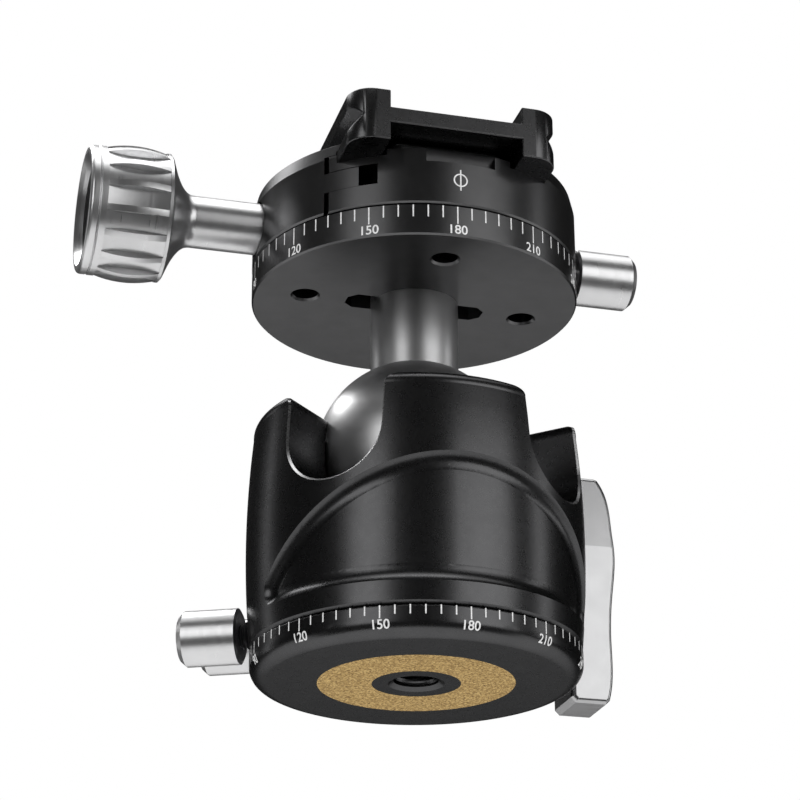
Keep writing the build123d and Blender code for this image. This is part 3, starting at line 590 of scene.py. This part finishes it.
TRIPOD_HOLE = (0, 0, 0.75), (0, 0, 10.8)  # ends of the threaded wall
TRIPOD_R = 3.98, 3.62                  # root and crest of its thread
TRIPOD_PITCH = 1.5875
thread("tripod_thread", *TRIPOD_HOLE, *TRIPOD_R, TRIPOD_PITCH, BLACK, "base", "black_anodised", inward=True)

LOCK_SCREW_R, LOCK_SCREW_ROOT = 2.5, 1.95  # crest and root of its thread
LOCK_SCREW_PITCH = 0.9
SCREW_GAP = 0.02                       # from the core to the shoe or tip, and of the thread into the knob


def locking_screw(node, joint, threaded, body):
    """Black screw of a small knob, threaded over the length that shows beside the housing."""
    origin = Vector(joints[joint]["pos_m"]) / MM
    axis = Vector(joints[joint]["axis"]).normalized()
    lo, hi = reach(node, origin, axis)
    lo += SCREW_GAP
    profile = [(0, lo), (LOCK_SCREW_ROOT, lo), (LOCK_SCREW_ROOT, hi), (0, hi)]
    core = lathe(node + "_core", origin, axis, profile, BLACK_STEEL, body, "black_steel")
    ends = origin + axis * -threaded, origin + axis * SCREW_GAP
    thread(node + "_thread", *ends, LOCK_SCREW_R, LOCK_SCREW_ROOT, LOCK_SCREW_PITCH,
           BLACK_STEEL, body, "black_steel")
    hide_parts(node)


locking_screw("pan_lock_screw", "pan_lock_turn", 6.2, "pan_knob")
locking_screw("friction_screw", "friction_turn", 8.0, "friction_knob")


# ------------------------------------------------------------------ camera screw and grip pads
STUD_HEAD = ((-0.5, 0), (0, 0.4), (0, 2.2), (-0.3, 2.6))  # (from the head's radius, height)
STUD_NECK, STUD_ROOT, STUD_TIP = 2.6, 2.75, 2.3           # radii
STUD_BEVEL = 0.3
STUD_THREADED = 7.85                   # from the neck to the tip
STUD_R = 3.17, 2.72                    # crest and root of its thread
STUD_PITCH = 1.27
STUD_BARE = 0.25                       # from the end of the thread to the tip
STUD_SLOT = 11.0, 1.2, 2.4             # the middle of this box is on the head's face
STUD_COUNT = 64                        # points round it


def cut_slot(stud, x, z):
    """Cuts the screwdriver slot into the head and applies the cut."""
    mesh = bpy.data.meshes.new("slot")
    bm = bmesh.new()
    bmesh.ops.create_cube(bm, size=1.0)
    bmesh.ops.scale(bm, vec=Vector(STUD_SLOT) * MM, verts=bm.verts)
    bmesh.ops.translate(bm, vec=Vector((x, 0, z)) * MM, verts=bm.verts)
    bm.to_mesh(mesh)
    bm.free()
    cutter = bpy.data.objects.new("slot", mesh)
    scene.collection.objects.link(cutter)
    mod = stud.modifiers.new("slot", "BOOLEAN")
    mod.object, mod.operation, mod.solver = cutter, "DIFFERENCE", "EXACT"
    bpy.context.view_layer.update()
    result = bpy.data.meshes.new_from_object(stud.evaluated_get(bpy.context.evaluated_depsgraph_get()))
    stud.modifiers.clear()
    stud.data = result
    bpy.data.objects.remove(cutter)


def camera_stud():
    """Captive 1/4"-20 screw: slotted head, thin neck and threaded end with a bevelled tip."""
    lo, hi = span("camera_screw")
    low, top = lo.z, hi.z
    head_r = (hi.x - lo.x) / 2
    tall = top - low
    thread_low = top - STUD_THREADED
    profile = [(0, 0)] + [(head_r + r, h) for r, h in STUD_HEAD] + [
        (STUD_NECK, STUD_HEAD[-1][1]), (STUD_NECK, thread_low - low), (STUD_ROOT, thread_low - low),
        (STUD_ROOT, tall - STUD_BEVEL), (STUD_TIP, tall), (0, tall)]
    stud = lathe("camera_screw_body", (PLATE_X, 0, low), (0, 0, 1), profile,
                 STEEL, "camera_screw", "steel", STUD_COUNT)
    cut_slot(stud, PLATE_X, low)
    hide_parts("camera_screw")
    ends = (PLATE_X, 0, thread_low), (PLATE_X, 0, top - STUD_BARE)
    thread("camera_screw_thread", *ends, *STUD_R, STUD_PITCH, STEEL, "camera_screw", "steel")


camera_stud()

PAD_GAP = 8.5                          # from the screw's axis to each pad
PAD_BORDER = 0.3                       # flat strip before the first and after the last rib
RIB_PITCH, RIB_HEIGHT = 1.5, 0.45
# one rib, as (share of the pitch, share of the height)
RIB = ((0.14, 0.1), (0.24, 0.8), (0.34, 1.0), (0.66, 1.0), (0.76, 0.8), (0.86, 0.1), (1.0, 0.0))


def ribbed_pads():
    """Two rubber strips on the plate, with ribs across it that keep the camera from turning."""
    lo, hi = span("grip_pads")
    crest, root = hi.z, hi.z - RIB_HEIGHT
    for k, (y0, y1) in enumerate(((lo.y, -PAD_GAP), (PAD_GAP, hi.y))):
        ribbed = y1 - y0 - 2 * PAD_BORDER
        count = round(ribbed / RIB_PITCH)
        pitch = ribbed / count
        line = [(y0, lo.z), (y0, root), (y0 + PAD_BORDER, root)]
        for i in range(count):
            y = y0 + PAD_BORDER + pitch * i
            line += [(y + pitch * along, crest - RIB_HEIGHT * (1 - up)) for along, up in RIB]
        line += [(y1, root), (y1, lo.z)]
        verts = [(x, y, z) for x in (lo.x, hi.x) for y, z in line]
        n = len(line)
        faces = [(i, n + i, n + i + 1, i + 1) for i in range(n - 1)]
        faces += [tuple(range(n)), tuple(reversed(range(n, 2 * n))), (0, n - 1, 2 * n - 1, n)]
        pad = add_mesh(f"grip_pad_{k}", verts, faces, RUBBER, "plate", "rubber")
        if k == 0:
            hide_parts("grip_pads")


ribbed_pads()


# ------------------------------------------------------------------ stage and light, in metres
FLOOR_HALF, FLOOR_Z = 3.0, -0.26       # the floor lies below the camera, which looks up at the object
FLOOR_GREY = (0.80, 0.80, 0.80, 1)
SCREEN_GREY = (0.03, 0.03, 0.03, 1)
SCREEN_COUNT = 60
AHEAD = math.atan2(camera.location.y, camera.location.x)


def add_stage(name, verts, faces, colour, rough):
    """Mesh of the stage, in one plain matt colour."""
    mesh = bpy.data.meshes.new(name)
    mesh.from_pydata(verts, [], faces)
    obj = bpy.data.objects.new(name, mesh)
    scene.collection.objects.link(obj)
    mat, _, shader = new_material(name)
    shader.inputs["Base Color"].default_value = colour
    shader.inputs["Roughness"].default_value = rough
    mesh.materials.append(mat)
    return obj


def around(degrees, r, z):
    """Place on a circle round the object, in degrees to the right of the camera."""
    a = AHEAD + math.radians(degrees)
    return r * math.cos(a), r * math.sin(a), z


def dark_screen(name, start, end, profile):
    """Dark cloth round the object, out of sight, which gives the metal its dark reflections."""
    verts, faces = [], []
    for i in range(SCREEN_COUNT + 1):
        degrees = start + (end - start) * i / SCREEN_COUNT
        verts += [around(degrees, r, z) for r, z in profile]
    n = len(profile)
    for i in range(SCREEN_COUNT):
        for j in range(n - 1):
            k = n * i + j
            faces.append((k, k + n, k + n + 1, k + 1))
    obj = add_stage(name, verts, faces, SCREEN_GREY, 1.0)
    obj.visible_camera = False
    obj.visible_diffuse = False
    obj.visible_shadow = False


corners = [(x * FLOOR_HALF, y * FLOOR_HALF, FLOOR_Z) for x, y in ((-1, -1), (1, -1), (1, 1), (-1, 1))]
add_stage("floor", corners, [(0, 1, 2, 3)], FLOOR_GREY, 0.9)
dark_screen("screen_wall", 0, 360, ((0.95, -0.25), (0.95, 0.90), (0.80, 1.25)))
dark_screen("screen_floor", 75, 285, ((0.80, -0.25), (0.95, -0.24)))
dark_screen("screen_front", -75, 75, ((0.27, -0.25), (0.95, -0.24)))

LAMP_AIM = Vector((0, 0, 0.06))
# name, degrees to the right of the camera, distance, height, width, length, power
LAMPS = (
    ("strip_front_left", -32, 0.80, 0.17, 0.38, 0.56, 1.05),
    ("strip_front_right", 47, 0.80, 0.17, 0.60, 0.56, 1.62),
    ("strip_right", 95, 0.80, 0.17, 0.16, 0.56, 0.45),
    ("strip_back_left", -117, 0.80, 0.17, 0.09, 0.56, 0.30),
    ("top", 0, 0.02, 0.95, 0.60, 0.60, 1.70),
    ("shoulder", -128, 0.60, 0.82, 0.54, 0.46, 4.8),
)
for name, degrees, r, z, width, length, power in LAMPS:
    light = bpy.data.lights.new(name, "AREA")
    light.shape = "RECTANGLE"
    light.size, light.size_y = width, length
    light.energy = power
    obj = bpy.data.objects.new(name, light)
    scene.collection.objects.link(obj)
    obj.location = around(degrees, r, z)
    obj.rotation_mode = "QUATERNION"
    obj.rotation_quaternion = (LAMP_AIM - obj.location).to_track_quat("-Z", "Y")


def studio_world(soft=0.6, white=1.0):
    """Soft light from all round, and plain white for what looks past the floor at it."""
    world = bpy.data.worlds.new("studio")
    scene.world = world
    world.use_nodes = True
    tree = world.node_tree
    tree.nodes.clear()
    out = tree.nodes.new("ShaderNodeOutputWorld")
    mix = tree.nodes.new("ShaderNodeMixShader")
    for socket, strength in ((1, soft), (2, white)):
        back = tree.nodes.new("ShaderNodeBackground")
        back.inputs[0].default_value = (1, 1, 1, 1)
        back.inputs[1].default_value = strength
        tree.links.new(back.outputs[0], mix.inputs[socket])
    path = tree.nodes.new("ShaderNodeLightPath")
    seen = path.outputs["Is Camera Ray"]
    for ray in ("Is Glossy Ray", "Is Transmission Ray"):
        either = tree.nodes.new("ShaderNodeMath")
        either.operation = "MAXIMUM"
        tree.links.new(seen, either.inputs[0])
        tree.links.new(path.outputs[ray], either.inputs[1])
        seen = either.outputs[0]
    tree.links.new(seen, mix.inputs[0])
    tree.links.new(mix.outputs[0], out.inputs[0])


studio_world()
scene.view_settings.view_transform = "Standard"
